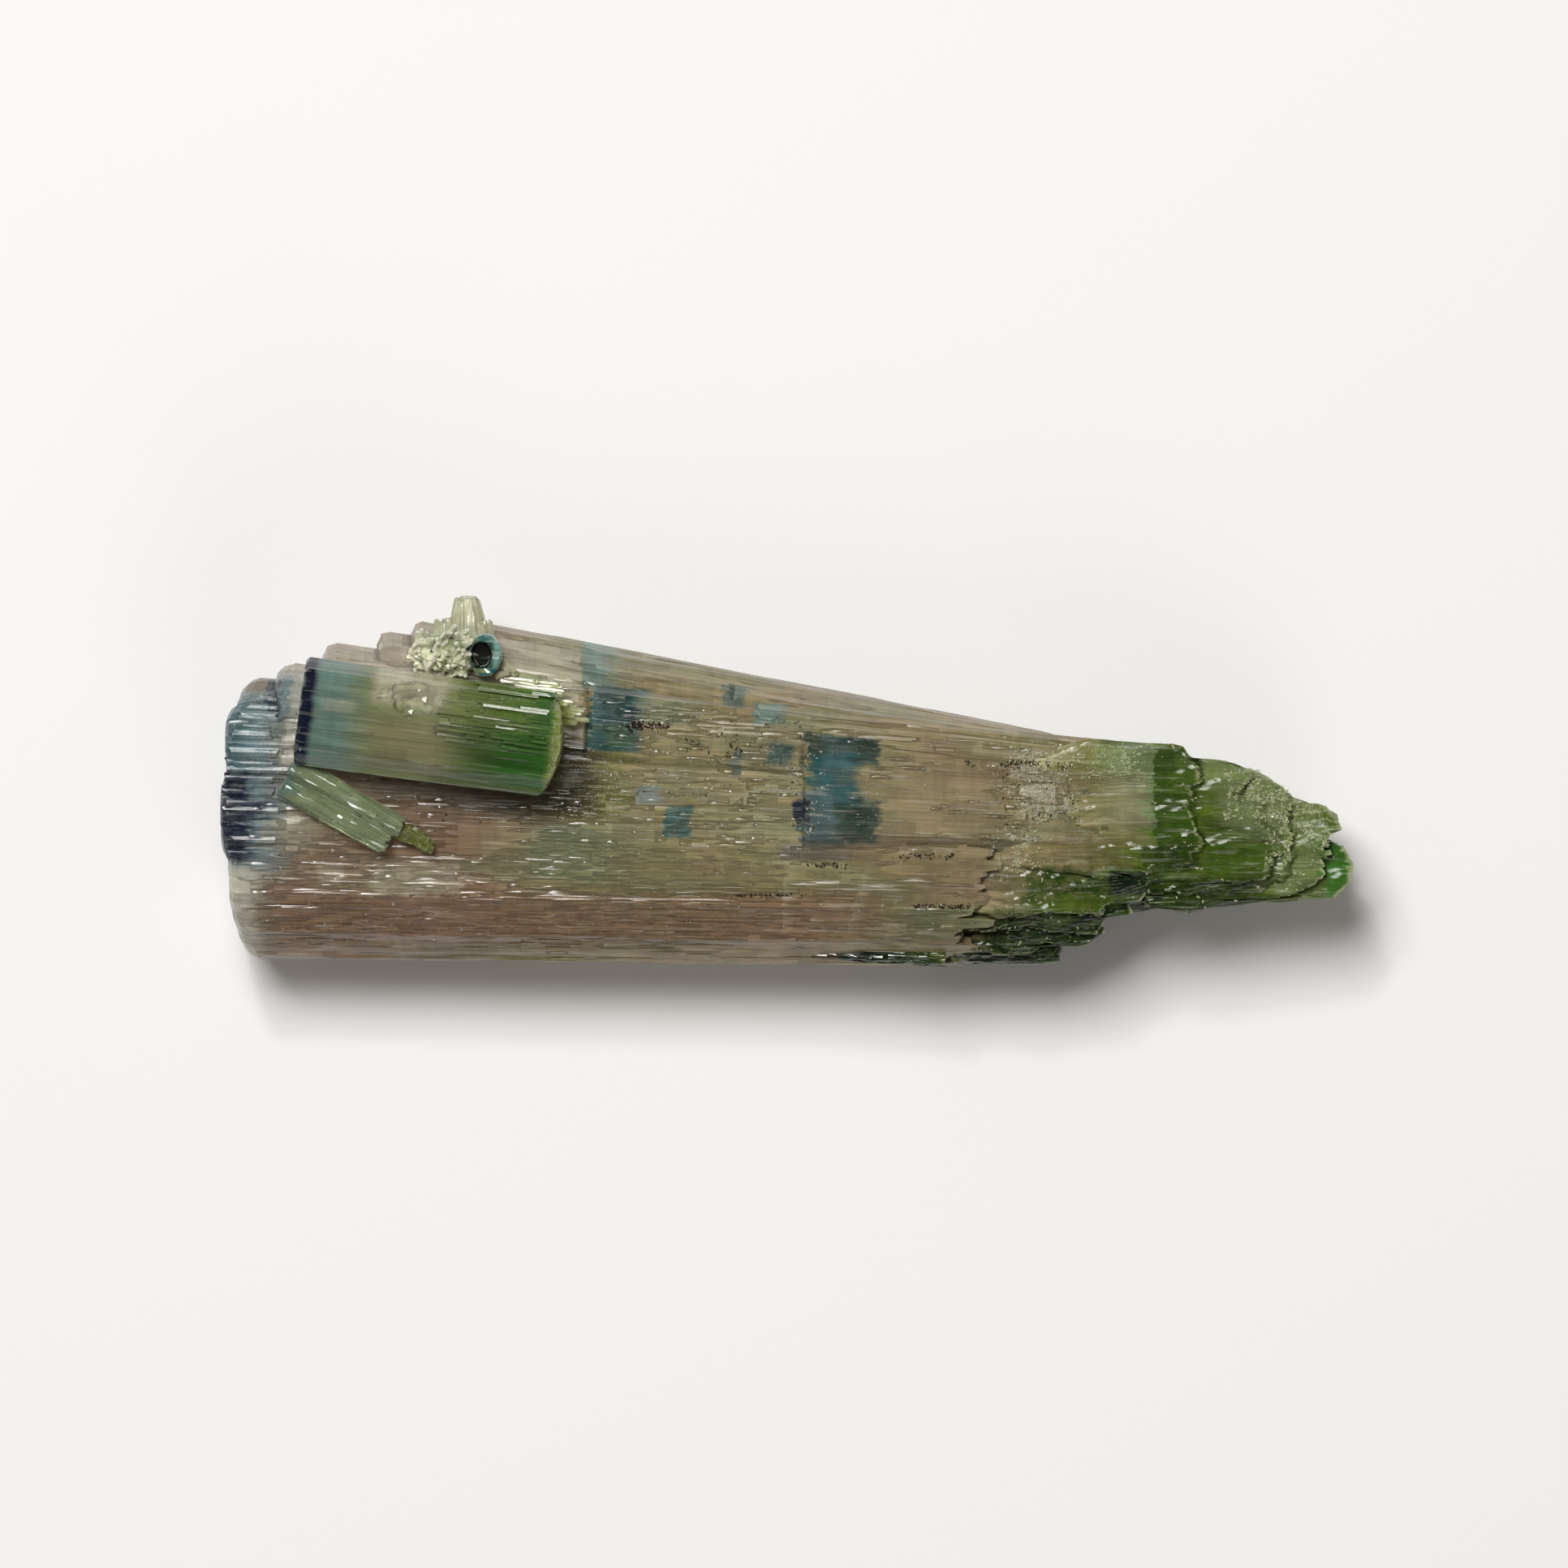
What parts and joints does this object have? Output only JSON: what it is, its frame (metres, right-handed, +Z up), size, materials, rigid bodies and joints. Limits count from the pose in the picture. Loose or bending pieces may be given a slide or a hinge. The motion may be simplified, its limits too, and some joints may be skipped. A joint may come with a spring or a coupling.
{
  "type": "tourmaline crystal",
  "caption": "Natural tourmaline crystal: a striated bundle of columns grown together, blue at one end and green at the other, lying flat for display.",
  "frame": {"origin": "centre of the footprint box, at the level that the crystal rests on", "axes": "+X along the crystal towards its green end, +Y across it towards the knob, +Z up from the prism face it lies on"},
  "size_m": [0.0697, 0.0229, 0.0162],
  "materials": {
    "tourmaline": "clear, striated, etched and frosted at the green end"
  },
  "bodies": {
    "root": {"tourmaline_crystal": "tourmaline"}
  },
  "joints": []
}
